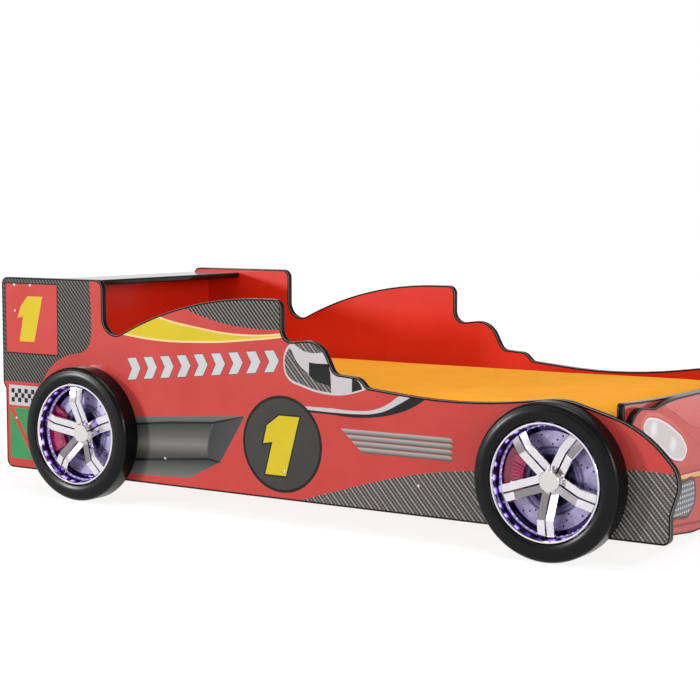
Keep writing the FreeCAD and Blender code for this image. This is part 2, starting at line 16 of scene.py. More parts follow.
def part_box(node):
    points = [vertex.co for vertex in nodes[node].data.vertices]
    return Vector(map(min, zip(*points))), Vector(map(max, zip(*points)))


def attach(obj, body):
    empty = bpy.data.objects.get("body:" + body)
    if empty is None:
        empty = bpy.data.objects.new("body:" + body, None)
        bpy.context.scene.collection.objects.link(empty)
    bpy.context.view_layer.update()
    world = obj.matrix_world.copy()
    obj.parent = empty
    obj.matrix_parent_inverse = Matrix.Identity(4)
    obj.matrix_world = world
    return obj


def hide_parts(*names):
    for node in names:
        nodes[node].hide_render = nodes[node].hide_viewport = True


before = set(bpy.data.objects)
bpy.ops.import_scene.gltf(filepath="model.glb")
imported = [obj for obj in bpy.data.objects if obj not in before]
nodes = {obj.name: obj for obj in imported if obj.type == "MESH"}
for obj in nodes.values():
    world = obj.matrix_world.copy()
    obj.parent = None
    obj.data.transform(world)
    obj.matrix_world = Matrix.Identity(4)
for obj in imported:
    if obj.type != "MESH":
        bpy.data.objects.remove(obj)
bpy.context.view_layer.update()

MM = 0.001
WHEEL_BACK = 0.4788     # plane of the wheels' backs, out from the middle of the bed
AXLE_HEIGHT = 0.2
BARREL_RADIUS = 136.5 * MM
RING_BACK = 52.5 * MM   # back of a rim's bright ring, from the wheel's back
BARREL_FLOOR = 5.5 * MM
BLEND = 1.5 * MM        # width over which one finish of the rim gives way to the next
DISC_RADIUS = 0.125
OUTER_Y = 478.0         # outer face of a side board, mm
NOSE_X = 988.0          # outer face of the nose board, mm
FILM = 0.15             # thickness of the printed film, mm
DIODES = 52             # in each wheel
SIDES = {"right": -1, "left": 1}
ENDS = ("rear", "front")


# ---------------------------------------- finishes
def linear(code):
    """An sRGB hex colour as the linear colour that shaders take."""
    srgb = np.array([int(code[i:i + 2], 16) for i in (0, 2, 4)]) / 255
    return (*np.where(srgb <= 0.04045, srgb / 12.92, ((srgb + 0.055) / 1.055) ** 2.4), 1.0)


def grey(value):
    """A neutral linear colour."""
    return (value, value, value, 1.0)


def add(tree, kind, inputs=None, stops=None, **settings):
    """Adds a node: settings are its properties, inputs its sockets with a value or a link."""
    made = tree.nodes.new("ShaderNode" + kind)
    for name, value in settings.items():
        setattr(made, name, value)
    for socket, value in (inputs or {}).items():
        if isinstance(value, bpy.types.NodeSocket):
            tree.links.new(value, made.inputs[socket])
        else:
            made.inputs[socket].default_value = value
    if stops:
        ramp = made.color_ramp
        for place, colour in stops[1:-1]:
            ramp.elements.new(place).color = colour
        ramp.elements[0].position, ramp.elements[0].color = stops[0]
        ramp.elements[-1].position, ramp.elements[-1].color = stops[-1]
    return made


def calc(tree, operation, *values):
    """Result of a maths operation on numbers or links."""
    return add(tree, "Math", dict(enumerate(values)), operation=operation).outputs[0]


def vector(tree, operation, *values):
    """Result of an operation on vectors: a number for a product, length or distance."""
    made = add(tree, "VectorMath", dict(enumerate(values)), operation=operation)
    return made.outputs["Value" if operation in ("DOT_PRODUCT", "LENGTH", "DISTANCE") else "Vector"]


def span(tree, value, low, high, least=0.0, most=1.0, smooth=False):
    """A value mapped from the span low to high onto the span least to most."""
    return add(tree, "MapRange", {"Value": value, "From Min": low, "From Max": high, "To Min": least,
                                  "To Max": most},
               interpolation_type="SMOOTHSTEP" if smooth else "LINEAR").outputs[0]


def ramped(tree, value, stops):
    """Colour ramp over a value. A stop holds its place and a hex colour or a plain grey."""
    return add(tree, "ValToRGB", {"Fac": value},
               [(at, linear(code) if isinstance(code, str) else grey(code))
                for at, code in stops]).outputs[0]


def mixed(tree, share, first, second, **settings):
    """Two colours mixed by a share."""
    return add(tree, "Mix", {0: share, 6: first, 7: second}, data_type="RGBA", **settings).outputs[2]


def cloudy(tree, place, scale, **inputs):
    """Noise of a scale, a value round one half."""
    return add(tree, "TexNoise", {"Vector": place, "Scale": scale, **inputs}).outputs["Fac"]


def ripple(tree, value, pitch):
    """A sine wave along a value, with its pitch in millimetres."""
    return calc(tree, "SINE", calc(tree, "MULTIPLY", value, 2 * math.pi / (pitch * MM)))


def join(shader, socket, value):
    """Links a value to a socket of a shader."""
    shader.id_data.links.new(value, shader.inputs[socket])


def painted(shader, value, stops):
    """Colours a surface by a ramp over a value."""
    join(shader, "Base Color", ramped(shader.id_data, value, stops))


def worn(shader, value, low, high):
    """Roughness that follows a value from low to high."""
    join(shader, "Roughness", span(shader.id_data, value, 0.0, 1.0, low, high))


def bumped(shader, value, depth, strength=0.5):
    """Lets a value stand out of the surface, by a depth in millimetres."""
    bump = add(shader.id_data, "Bump", {"Height": value, "Distance": depth * MM, "Strength": strength})
    join(shader, "Normal", bump.outputs[0])


def bare_tree(owner):
    """The emptied node tree of a material or world."""
    owner.use_nodes = True
    owner.node_tree.nodes.clear()
    return owner.node_tree


def begin(name, values):
    """A new material, its node tree, its Principled shader and the position on the object."""
    material = bpy.data.materials.new(name)
    tree = bare_tree(material)
    shader = add(tree, "BsdfPrincipled", values)
    add(tree, "OutputMaterial", {"Surface": shader.outputs[0]})
    return material, tree, shader, add(tree, "TexCoord").outputs["Object"]


def speckle(place, shader, size, depth, rough, spread):
    """Fine uneven surface: noise of a size and depth in millimetres, also in the roughness."""
    grain = cloudy(shader.id_data, place, 1 / (size * MM), Detail=3.0)
    bumped(shader, grain, depth, 0.6)
    worn(shader, grain, rough - spread, rough + spread)
    return grain


def grained(name, values, size, depth, rough, spread, dark, light):
    """A material with a fine uneven skin and a colour that follows it from dark to light."""
    material, tree, shader, place = begin(name, values)
    grain = speckle(place, shader, size, depth, rough, spread)
    colour = ramped(tree, grain, [(0.3, dark), (0.7, light)])
    join(shader, "Base Color", colour)
    return material, shader, colour


def laminate(name, dark, light, rough=0.3, level=0.2):
    """Melamine-faced board: pressed resin paper, satin, with a fine orange-peel skin.

    The eye sees an even colour with a soft sheen and a slight cloudiness.
    """
    material, tree, shader, place = begin(name, {"IOR": 1.5, "Specular IOR Level": level,
                                                 "Coat Weight": 0.06, "Coat Roughness": 0.12})
    speckle(place, shader, 2.2, 0.05, rough, 0.05)
    cloud = cloudy(tree, place, 5.0, Detail=2.0)
    painted(shader, cloud, [(0.3, dark), (0.7, light)])
    return material


def print_base(name):
    """Start of a printed vinyl film under a clear gloss laminate, with its skin."""
    material, tree, shader, place = begin(name, {"IOR": 1.48, "Specular IOR Level": 0.2,
                                                 "Coat Weight": 0.08, "Coat Roughness": 0.08})
    speckle(place, shader, 2.6, 0.05, 0.2, 0.04)
    return material, tree, shader, place


def turned(tree, place, degrees, centre=(0.0, 0.0)):
    """Distances along and across a print that slants by an angle about Y."""
    moved = vector(tree, "SUBTRACT", place, (centre[0] * MM, 0.0, centre[1] * MM))
    angle = math.radians(degrees)
    return (vector(tree, "DOT_PRODUCT", moved, (math.cos(angle), 0.0, math.sin(angle))),
            vector(tree, "DOT_PRODUCT", moved, (-math.sin(angle), 0.0, math.cos(angle))))


def print_plain(name, dark, light):
    """Printed area of one ink, with the faint cloudiness of wide-format printing."""
    material, tree, shader, place = print_base(name)
    cloud = cloudy(tree, place, 9.0, Detail=4.0)
    painted(shader, cloud, [(0.3, dark), (0.7, light)])
    return material


def print_shade(name, degrees, low, high, stops, centre=(0.0, 0.0), repeat=None):
    """Printed area that shades across a direction, from low to high in millimetres."""
    material, tree, shader, place = print_base(name)
    across = turned(tree, place, degrees, centre)[1]
    if repeat:
        across = calc(tree, "FLOORED_MODULO", calc(tree, "SUBTRACT", across, low * MM), repeat * MM)
        low, high = 0.0, repeat
    painted(shader, span(tree, across, low * MM, high * MM), stops)
    return material


def print_carbon(name, stops, fade=0.0):
    """Printed twill: slanted threads 9.7 mm apart on a dark ground, slightly broken along their length.

    With some fade, every other thread is weaker than its neighbours.
    """
    material, tree, shader, place = print_base(name)
    along, across = turned(tree, place, -48.0)
    wobble = cloudy(tree, place, 40.0, Detail=2.0)
    moved = calc(tree, "ADD", across, span(tree, wobble, 0.0, 1.0, -0.7 * MM, 0.7 * MM))
    phase = calc(tree, "MULTIPLY", moved, 2 * math.pi / (9.7 * MM))
    threads = calc(tree, "MULTIPLY_ADD", ripple(tree, along, 8.0), 0.16, calc(tree, "SINE", phase))
    slow = calc(tree, "SINE", calc(tree, "MULTIPLY_ADD", phase, 0.5, math.pi / 4))
    weaker = calc(tree, "MULTIPLY_ADD", slow, fade, threads)
    painted(shader, span(tree, weaker, -1.1, 1.1 + fade), stops)
    return material


def edging_pvc(name, axis, pale):
    """Soft extruded PVC edging, black and glossy, with fine grain and a painted highlight on its crown.

    The crown is the rounding between the face of the lip, which looks along the given axis, and the outer
    wall. Its colour is painted paler there, a painted highlight that reads as a thin line along the edge.
    """
    material, tree, shader, place = begin(name, {"IOR": 1.53, "Specular IOR Level": 0.12})
    grain = speckle(place, shader, 3.0, 0.05, 0.2, 0.04)
    black = ramped(tree, grain, [(0.35, "080708"), (0.65, "0e0d0f")])
    # Painted highlight: the pale colour goes on the rounding, picked by which way the surface faces.
    facing = add(tree, "SeparateXYZ", {0: add(tree, "NewGeometry").outputs["Normal"]})
    painted_highlight = ramped(tree, calc(tree, "ABSOLUTE", facing.outputs[axis]),
                   [(0.1, 0.0), (0.35, 1.0), (0.9, 1.0), (0.98, 0.0)])
    join(shader, "Base Color", mixed(tree, painted_highlight, black, linear(pale)))
    return material


def black_board():
    """Glossy black melamine board: a mirror-like skin over near-black resin."""
    return grained("gloss_black_melamine", {"IOR": 1.5, "Specular IOR Level": 0.3},
                   5.0, 0.03, 0.1, 0.03, "0e0a0b", "161112")[0]


def pine():
    """Planed pine: pale sapwood with darker growth lines along the board."""
    material, tree, shader, place = begin("planed_pine", {"IOR": 1.45})
    stretch = add(tree, "Mapping", {"Vector": place, "Scale": (30.0, 2.0, 60.0)})
    grain = cloudy(tree, stretch.outputs[0], 4.0, Detail=6.0, Distortion=0.6)
    painted(shader, grain, [(0.3, "c89a62"), (0.5, "dcb680"), (0.75, "e8c998")])
    bumped(shader, grain, 0.15)
    worn(shader, grain, 0.5, 0.68)
    return material


def moulded(name, dark, light, rough, size=1.6, depth=0.05, coat=0.0, level=0.5):
    """Injection-moulded plastic: even colour with a fine spark-eroded grain."""
    return grained(name, {"IOR": 1.53, "Specular IOR Level": level, "Coat Weight": coat,
                          "Coat Roughness": 0.1}, size, depth, rough, 0.06, dark, light)[0]


def from_axle(tree, place, axle_x):
    """Distance from a wheel's axle, and distance outwards from the back of the wheel, in metres."""
    centred = vector(tree, "SUBTRACT", place, (axle_x, 0.0, AXLE_HEIGHT))
    radius = vector(tree, "LENGTH", vector(tree, "MULTIPLY", centred, (1.0, 0.0, 1.0)))
    split = add(tree, "SeparateXYZ", {0: place})
    return radius, calc(tree, "SUBTRACT", calc(tree, "ABSOLUTE", split.outputs["Y"]), WHEEL_BACK)


def metallised(name, axle_x):
    """Vacuum-metallised ABS: bright aluminium under lacquer, with the barrel's wall and floor coloured
    violet black.

    The eye sees mirror-bright arms and ring in front of a dark, still glossy well. On the wall of the
    well, the fans of violet light that the diodes throw towards the ring are painted light: emission of
    the rim itself.
    """
    material, tree, shader, place = begin(name, {"Metallic": 1.0, "Emission Strength": 1.1})
    radius, height = from_axle(tree, place, axle_x)
    grain = speckle(place, shader, 14.0, 0.03, 0.1, 0.03)
    bright = ramped(tree, grain, [(0.3, "d8d5da"), (0.7, "e4e1e6")])
    # The barrel's wall and floor take a violet-black colour in place of the bright one.
    well_colour = ramped(tree, grain, [(0.3, "2b2348"), (0.7, "3a3060")])
    wall = calc(tree, "MULTIPLY", span(tree, radius, BARREL_RADIUS, BARREL_RADIUS + BLEND),
                span(tree, height, RING_BACK, RING_BACK - BLEND))
    floor = span(tree, height, BARREL_FLOOR, BARREL_FLOOR - MM)
    join(shader, "Base Color", mixed(tree, calc(tree, "MAXIMUM", wall, floor), bright, well_colour))
    # Painted light: fans of violet diode light put on the barrel's wall as emission, strongest towards the
    # ring.
    split = add(tree, "SeparateXYZ", {0: place})
    angle = calc(tree, "ARCTAN2", calc(tree, "SUBTRACT", split.outputs["Z"], AXLE_HEIGHT),
                 calc(tree, "SUBTRACT", split.outputs["X"], axle_x))
    pulse = calc(tree, "COSINE", calc(tree, "MULTIPLY", angle, DIODES / 2))
    uneven = span(tree, cloudy(tree, place, 38.0, Detail=1.0), 0.35, 0.65, -0.7, 0.9)
    fan = span(tree, calc(tree, "ADD", pulse, uneven), -0.3, 1.2, smooth=True)
    band = span(tree, height, 36.0 * MM, RING_BACK - 3.0 * MM, smooth=True)
    painted_diode_light = calc(tree, "MULTIPLY", calc(tree, "MULTIPLY", fan, band), wall)
    join(shader, "Emission Color", ramped(tree, painted_diode_light, [(0.0, 0.0), (0.35, "4a2ca0"), (0.7, "a680f0"),
                                                      (1.0, "f2eaff")]))
    return material


def turned_disc(name, axle_x):
    """Silver-painted disc with the fine circles that a lathe leaves. Its sunk middle is darkened in the
    colour, a painted shade, with lighter and darker rings round it.
    """
    material, tree, shader, place = begin(name, {"Metallic": 0.5})
    radius = from_axle(tree, place, axle_x)[0]
    wave = ripple(tree, radius, 2.4)
    cloud = cloudy(tree, place, 60.0, Detail=3.0)
    silver = ramped(tree, calc(tree, "MULTIPLY_ADD", wave, 0.1, cloud), [(0.3, "938aae"), (0.7, "b4acd0")])
    # Painted shade: violet black over the sunk middle, then lighter and darker rings, multiplied into the
    # silver.
    middle_shade_and_rings = ramped(tree, span(tree, radius, 0.0, DISC_RADIUS),
                  [(0.0, "23203f"), (0.46, "2c284f"), (0.53, "6f6b90"), (0.6, "c9c7d6"),
                   (0.68, "8f8da4"), (0.72, 1.0), (1.0, 1.0)])
    join(shader, "Base Color", mixed(tree, 1.0, silver, middle_shade_and_rings, blend_type="MULTIPLY"))
    bumped(shader, wave, 0.05)
    worn(shader, cloud, 0.3, 0.42)
    return material


def glow(name, code, strength):
    """Milky diffuser over light diodes: pale silicone that shines in its own colour."""
    material, shader, colour = grained(name, {"IOR": 1.41, "Emission Strength": strength},
                                       4.0, 0.03, 0.4, 0.05, code, "e6d9ff")
    join(shader, "Emission Color", colour)
    return material


def plated(name, dark, light, rough=0.32):
    """Plated metal, rough zinc or smooth chrome: cool grey with small crystal spots."""
    return grained(name, {"Metallic": 1.0}, 1.2, 0.02, rough, 0.25 * rough, dark, light)[0]


def cover_cloth():
    """Orange cotton sateen: a plain weave of 1.6 mm pitch (drawn coarse), soft and matt."""
    material, tree, shader, place = begin("orange_cotton_cover",
                                          {"IOR": 1.45, "Specular IOR Level": 0.06,
                                           "Sheen Weight": 0.02, "Sheen Roughness": 0.5})
    weave = calc(tree, "MULTIPLY", *[ripple(tree, vector(tree, "DOT_PRODUCT", place, way), 1.6)
                                     for way in ((1.0, 0.0, 0.35), (0.0, 1.0, 0.35))])
    cloud = cloudy(tree, place, 14.0, Detail=5.0)
    painted(shader, calc(tree, "MULTIPLY_ADD", weave, 0.06, cloud),
            [(0.25, "f0a021"), (0.55, "f3a428"), (0.8, "f5a930")])
    bumped(shader, weave, 0.12)
    worn(shader, cloud, 0.75, 0.9)
    return material


RED_BOARD = laminate("red_melamine_board", "cd2814", "d52d18")
FOOT_BOARD_RED = laminate("red_gloss_melamine_board", "bd3a37", "c5403c", 0.16, 1.0)
# The last colour of each edging is its painted highlight, brownish on the end edgings.
SIDE_EDGING_PVC = edging_pvc("extruded_pvc_side_edging", "Y", "7f797a")
END_EDGING_PVC = edging_pvc("extruded_pvc_end_edging", "X", "5e4a48")
BLACK_BOARD = black_board()
PINE = pine()
TYRE_ABS = moulded("satin_black_tyre_abs", "070708", "0c0c0d", 0.27, 2.0, 0.04, level=0.16)
CALIPER_ABS = moulded("red_gloss_caliper_abs", "a30c4e", "ba1059", 0.2, 3.0, 0.03, 0.5)
GLIDE_ABS = moulded("black_glide_polyethylene", "1c1c1c", "262626", 0.55)
DRIVER_ABS = moulded("white_driver_abs", "dedede", "ececec", 0.4)
LIGHT_SILICONE = glow("violet_light_strip", "5c38c0", 0.25)
SCREW_STEEL = plated("zinc_plated_steel", "b9bcc0", "d4d6d8")
CAP_CHROME = plated("brushed_chrome_cap", "cfccc9", "dad7d4", 0.14)
COVER_CLOTH = cover_cloth()

FINISHES = ((END_EDGING_PVC, "foot_board_edging nose_board_edging"), (SIDE_EDGING_PVC, "side_edging"),
            (RED_BOARD, "side_panel headboard nose_board"), (FOOT_BOARD_RED, "foot_board"),
            (BLACK_BOARD, "tail_shelf"), (GLIDE_ABS, "leg_glides"), (PINE, "slat leg"),
            (TYRE_ABS, "tyre"), (CALIPER_ABS, "caliper"), (LIGHT_SILICONE, "light_ring"),
            (CAP_CHROME, "hub_cap"), (DRIVER_ABS, "light_driver"), (COVER_CLOTH, "mattress"),
            (SCREW_STEEL, "wall_screws rail_screws nose_screws wheel_bolts"))


def dress(name, material):
    """Gives a CAD node its finish."""
    for place in nodes[name].material_slots:
        place.material = material


def node_middle(name):
    """Middle of a node's box at rest."""
    low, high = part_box(name)
    return (Vector(low) + Vector(high)) / 2


for name in nodes:
    for material, starts in FINISHES:
        if name.startswith(tuple(starts.split())):
            dress(name, material)
            break
for end in ENDS:
    axle = node_middle("brake_disc_%s_right" % end).x
    disc = turned_disc("turned_disc_" + end, axle)
    chrome = metallised("metallised_abs_" + end, axle)
    for side in SIDES:
        dress("brake_disc_%s_%s" % (end, side), disc)
        dress("rim_%s_%s" % (end, side), chrome)


# ---------------------------------------- meshes
def placed(name, data):
    """A new object at the origin, in the scene."""
    made = bpy.data.objects.new(name, data)
    bpy.context.scene.collection.objects.link(made)
    return made


def read(items, field, width, kind=float):
    """One field of all of a mesh's items, a row for each."""
    values = np.empty(len(items) * width, dtype=kind)
    items.foreach_get(field, values)
    return values.reshape(-1, width)


def settle(made):
    """Gives an object the mesh that its modifiers make of it, and takes them off."""
    mesh = bpy.data.meshes.new_from_object(made.evaluated_get(bpy.context.evaluated_depsgraph_get()))
    made.modifiers.clear()
    made.data = mesh
    return mesh


def piece(name, points, faces, materials, which=None, smooth=False, body="bed"):
    """An object at the origin from points in metres, faces and the material of each face."""
    mesh = bpy.data.meshes.new(name)
    mesh.from_pydata(np.asarray(points).tolist(), [], np.asarray(faces).tolist())
    for material in materials:
        mesh.materials.append(material)
    if which is not None:
        mesh.polygons.foreach_set("material_index", np.asarray(which, dtype=np.int32))
    mesh.polygons.foreach_set("use_smooth", np.full(len(mesh.polygons), smooth))
    mesh.update()
    made = placed(name, mesh)
    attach(made, body)


def bowed(points, step=8.0):
    """A smooth line through points in millimetres: cubic pieces whose slopes follow the neighbours."""
    p = np.asarray(points, dtype=float)
    chord = np.linalg.norm(np.diff(p, axis=0), axis=1)
    at = np.concatenate([[0.0], np.cumsum(chord)])
    slope = np.gradient(p, at, axis=0)
    s = np.linspace(0, at[-1], max(int(at[-1] / step), 2) + 1)
    i = np.clip(np.searchsorted(at, s, side="right") - 1, 0, len(chord) - 1)
    h = chord[i][:, None]
    t = ((s - at[i]) / chord[i])[:, None]
    return (p[i] * (1 + 2 * t) * (1 - t) ** 2 + slope[i] * h * t * (1 - t) ** 2
            + p[i + 1] * t ** 2 * (3 - 2 * t) + slope[i + 1] * h * t ** 2 * (t - 1))


def line_of(*parts):
    """One closed outline from points and smooth lines, end to end."""
    return np.vstack([np.atleast_2d(np.asarray(part, dtype=float)) for part in parts])


def ring(centre, radius):
    """A circle as an outline of 72 points."""
    turn = np.linspace(0, 2 * math.pi, 72, endpoint=False)
    return np.asarray(centre) + radius * np.stack([np.cos(turn), np.sin(turn)], axis=1)


def round_trip(count):
    """Edges of a closed outline, from each point to the next."""
    return np.stack([np.arange(count), (np.arange(count) + 1) % count], axis=1)


def sides_of(faces):
    """The three directed sides of every triangle."""
    return np.concatenate([faces[:, [0, 1]], faces[:, [1, 2]], faces[:, [2, 0]]])


def lip_edge(node, axis, outward):
    """Edges of the inner rim of an edging's lip, read from the CAD mesh.

    The lip's face is the part of the mesh furthest along outward on the given
    axis. Its free edges form two loops, and the shorter box is the inner one.
    """
    mesh = nodes[node].data
    points = read(mesh.vertices, "co", 3)
    corners = read(mesh.polygons, "vertices", 3, np.int64)
    level = (points[:, axis] * outward).max()
    kept, same = np.unique(np.round(points / 1e-6).astype(np.int64), axis=0, return_inverse=True)
    faces = same.ravel()[corners]
    faces = faces[(kept[:, axis] * outward * 1e-6 > level - 2e-6)[faces].all(axis=1)]
    edges, seen = np.unique(np.sort(sides_of(faces), axis=1), axis=0, return_counts=True)
    edges = edges[seen == 1]
    label = np.arange(len(kept))
    while True:
        low = label[edges].min(axis=1)
        following = label.copy()
        np.minimum.at(following, edges[:, 0], low)
        np.minimum.at(following, edges[:, 1], low)
        following = following[following]
        if (following == label).all():
            break
        label = following
    across = kept[:, [i for i in range(3) if i != axis]] * 1e-3
    loops = [edges[label[edges[:, 0]] == tag] for tag in np.unique(label[edges[:, 0]])]
    inner = min(loops, key=lambda loop: np.ptp(across[loop].reshape(-1, 2), axis=0).sum())
    used, renamed = np.unique(inner, return_inverse=True)
    return across[used], renamed.reshape(-1, 2)


def inside(spots, points, edges):
    """Which spots lie inside the loops: a ray to the right crosses them an odd number of times."""
    a, b = points[edges[:, 0]], points[edges[:, 1]]
    u, v = spots[:, 0:1], spots[:, 1:2]
    spans = (a[:, 1] > v) != (b[:, 1] > v)
    with np.errstate(divide="ignore", invalid="ignore"):
        meet = a[:, 0] + (v - a[:, 1]) * (b[:, 0] - a[:, 0]) / (b[:, 1] - a[:, 1])
    return (spans & (u < meet)).sum(axis=1) % 2 == 1


def film(name, edging, areas, ground, axis, level, sign):
    """A thin printed film inside an edging's lip, divided by the outlines of its areas.

    The outlines cut a flat triangulation, and each triangle takes the last area
    that holds its middle. A copy of the sheet set back by its thickness and a
    band along the free edges close it. The film looks along the axis, with its
    back at a level in millimetres, on the positive or negative side.
    """
    rim = lip_edge(edging, axis, sign)
    loops = [rim] + [(outline, round_trip(len(outline))) for _, outlines in areas for outline in outlines]
    starts = np.cumsum([0] + [len(p) for p, e in loops[:-1]])
    every = np.vstack([p for p, e in loops])
    lines = np.vstack([e + s for (p, e), s in zip(loops, starts)])
    made = delaunay_2d_cdt([Vector(p) for p in every.tolist()], lines.tolist(), [], 0, 1e-4, False)
    flat = np.array([tuple(p) for p in made[0]])
    faces = np.array(made[2])
    middle = flat[faces].mean(axis=1)
    keep = inside(middle, *rim)
    faces, middle = faces[keep], middle[keep]
    which = np.zeros(len(faces), dtype=np.int32)
    materials = [ground]
    for material, outlines in areas:
        within = np.zeros(len(faces), dtype=bool)
        for outline in outlines:
            within ^= inside(middle, outline, round_trip(len(outline)))
        if material not in materials:
            materials.append(material)
        which[within] = materials.index(material)
    used, faces = np.unique(faces, return_inverse=True)
    flat, faces = flat[used], faces.reshape(-1, 3)
    a, b, c = flat[faces[:, 0]], flat[faces[:, 1]], flat[faces[:, 2]]
    area = (b[:, 0] - a[:, 0]) * (c[:, 1] - a[:, 1]) - (b[:, 1] - a[:, 1]) * (c[:, 0] - a[:, 0])
    faces = np.where((area < 0)[:, None], faces[:, ::-1], faces)
    if (sign > 0) == (axis == 1):
        faces = faces[:, ::-1]
    pairs = sides_of(faces)
    count = len(flat)
    alone = ~np.isin(pairs[:, 0] * count + pairs[:, 1], pairs[:, 1] * count + pairs[:, 0])
    free = pairs[alone]
    owner = np.tile(np.arange(len(faces)), 3)[alone]
    band_a = np.stack([free[:, 1], free[:, 0], free[:, 0] + count], axis=1)
    band_b = np.stack([free[:, 1], free[:, 0] + count, free[:, 1] + count], axis=1)
    points = np.vstack([np.insert(flat, axis, sign * (level + out), axis=1) for out in (FILM, 0.0)])
    piece(name, points * MM,
          np.vstack([faces, faces[:, ::-1] + count, band_a, band_b]), materials,
          np.concatenate([which, which * 0, which[owner], which[owner]]))


def dome_faces(rows, turns):
    """Triangles of a closed dome: rings of points, then its tip, then the middle of its base."""
    i, j = np.meshgrid(np.arange(rows - 1), np.arange(turns), indexing="ij")
    a, b = i * turns + j, i * turns + (j + 1) % turns
    first = np.arange(turns)
    following = (first + 1) % turns
    last = (rows - 1) * turns
    return np.vstack([np.stack([a, b, b + turns], -1).reshape(-1, 3),
                      np.stack([a, b + turns, a + turns], -1).reshape(-1, 3),
                      np.stack([last + first, last + following, np.full(turns, rows * turns)], axis=1),
                      np.stack([following, first, np.full(turns, rows * turns + 1)], axis=1)])


def copies(faces, number, count, flip):
    """Faces of equal bodies of count points that follow each other, turned inside out where asked."""
    every = (faces[None] + np.arange(number)[:, None, None] * count).reshape(-1, 3)
    return every[:, ::-1] if flip else every


# ---------------------------------------- edgings
def rounded_edging(name, axis, material):
    """An edging with both its outer corners rounded to 1.2 mm, as the die leaves them.

    The corners are the edges between a face of a lip, which looks along the
    axis, and the wall that spans the whole thickness of the board.
    """
    made = placed(name.replace("edging", "soft_edging"), nodes[name].data.copy())
    made.modifiers.new("weld", "WELD").merge_threshold = 1e-5
    mesh = settle(made)
    mesh.materials.clear()
    mesh.materials.append(material)
    normals = read(mesh.polygons, "normal", 3)
    corners = read(mesh.polygons, "vertices", 3, np.int64)
    points = read(mesh.vertices, "co", 3)
    edge_of = read(mesh.loops, "edge_index", 1, np.int64).ravel()
    lip = np.abs(normals[:, axis]) > 0.99
    tall = np.ptp(points[corners, axis], axis=1) > 10 * MM
    around = [np.bincount(edge_of, weights=np.repeat(kind, 3), minlength=len(mesh.edges))
              for kind in (lip, tall & ~lip)]
    sharp = (around[0] == 1) & (around[1] == 1)
    weight = mesh.attributes.new("bevel_weight_edge", "FLOAT", "EDGE")
    weight.data.foreach_set("value", sharp.astype(np.float32))
    mesh.polygons.foreach_set("use_smooth", np.full(len(mesh.polygons), True))
    mesh.set_sharp_from_angle(angle=math.radians(50))
    bevel = made.modifiers.new("rounding", "BEVEL")
    bevel.limit_method = "WEIGHT"
    bevel.width = 1.2 * MM
    bevel.segments = 3
    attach(made, "bed")
    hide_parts(name)


for side in SIDES:
    rounded_edging("side_edging_" + side, 1, SIDE_EDGING_PVC)
for part in ("foot_board_edging", "nose_board_edging"):
    rounded_edging(part, 0, END_EDGING_PVC)


# ---------------------------------------- print of the flanks
LOUVRE_TOP, LOUVRE_PITCH, LOUVRE_HEIGHT = 281.4, 15.6, 14.4

INK_RED = print_plain("red_printed_film", "c8423c", "ce4943")
INK_TWILL = print_carbon("twill_printed_film", [(0.0, "1b1918"), (0.48, "282624"), (0.64, "635f5a"),
                                                (1.0, "736f6a")])
INK_BOLD_TWILL = print_carbon("bold_twill_printed_film", [(0.0, "0f0e0d"), (0.52, "1e1b1a"),
                                                          (0.72, "7c756f"), (1.0, "958d87")])
INK_FINE_TWILL = print_carbon("fine_twill_printed_film", [(0.0, "494645"), (0.56, "53504e"),
                                                          (0.74, "76716f"), (0.88, "a8a2a0"),
                                                          (1.0, "c6c0be")], 0.16)
INK_BLACK = print_plain("black_printed_film", "151313", "1d1b1b")
INK_DEEP_RED = print_plain("deep_red_printed_film", "8f1d1a", "9a2420")
INK_YELLOW = print_plain("yellow_printed_film", "d8be1c", "ddc526")
INK_AMBER = print_plain("amber_printed_film", "f0a23c", "f6b052")
INK_CREAM = print_plain("cream_printed_film", "fbd394", "fcdaa4")
INK_WHITE = print_plain("white_printed_film", "c9c3c5", "d1cbcd")
INK_PALE = print_plain("pale_grey_printed_film", "c9ccce", "d1d3d5")
INK_GREEN = print_plain("green_printed_film", "3c9258", "449b60")
INK_SLATE = print_plain("slate_printed_film", "3d3b38", "44423f")
INK_VISOR = print_shade("visor_printed_film", 0.0, 380, 455,
                        [(0.0, "201f20"), (0.5, "141315"), (1.0, "100f11")])
INK_TUBE = print_shade("tube_printed_film", 3.4, -50, 52,
                       [(0.0, "3b3a38"), (0.18, "52514d"), (0.45, "7f7d78"), (0.7, "605f5b"),
                        (1.0, "3f3f3d")], (-440, 195))
INK_POD = print_shade("pod_printed_film", 3.4, -110, 90,
                      [(0.0, "7d7f7c"), (0.22, "595b59"), (0.3, "414342"), (0.78, "4c504e"),
                       (1.0, "6f746f")], (-440, 190))
INK_POD_END = print_shade("pod_end_printed_film", 60.0, -80, 80,
                          [(0.0, "514f50"), (0.5, "474647"), (1.0, "373738")], (-250, 210))
INK_LOUVRE = print_shade("louvre_printed_film", 0.0, 219, 281,
                         [(0.0, "3d3a39"), (0.14, "5c5856"), (0.35, "827c78"), (0.68, "a8a29d"),
                          (0.92, "b9b3ae"), (1.0, "75706d")], repeat=LOUVRE_PITCH)


def numeral_one(corners, centre, mirror):
    """A plain slanted figure one, turned round for the other flank so that it reads well."""
    outline = np.asarray(corners, dtype=float)
    if mirror:
        outline = np.stack([2 * centre - outline[:, 0], outline[:, 1]], axis=1)
    return outline


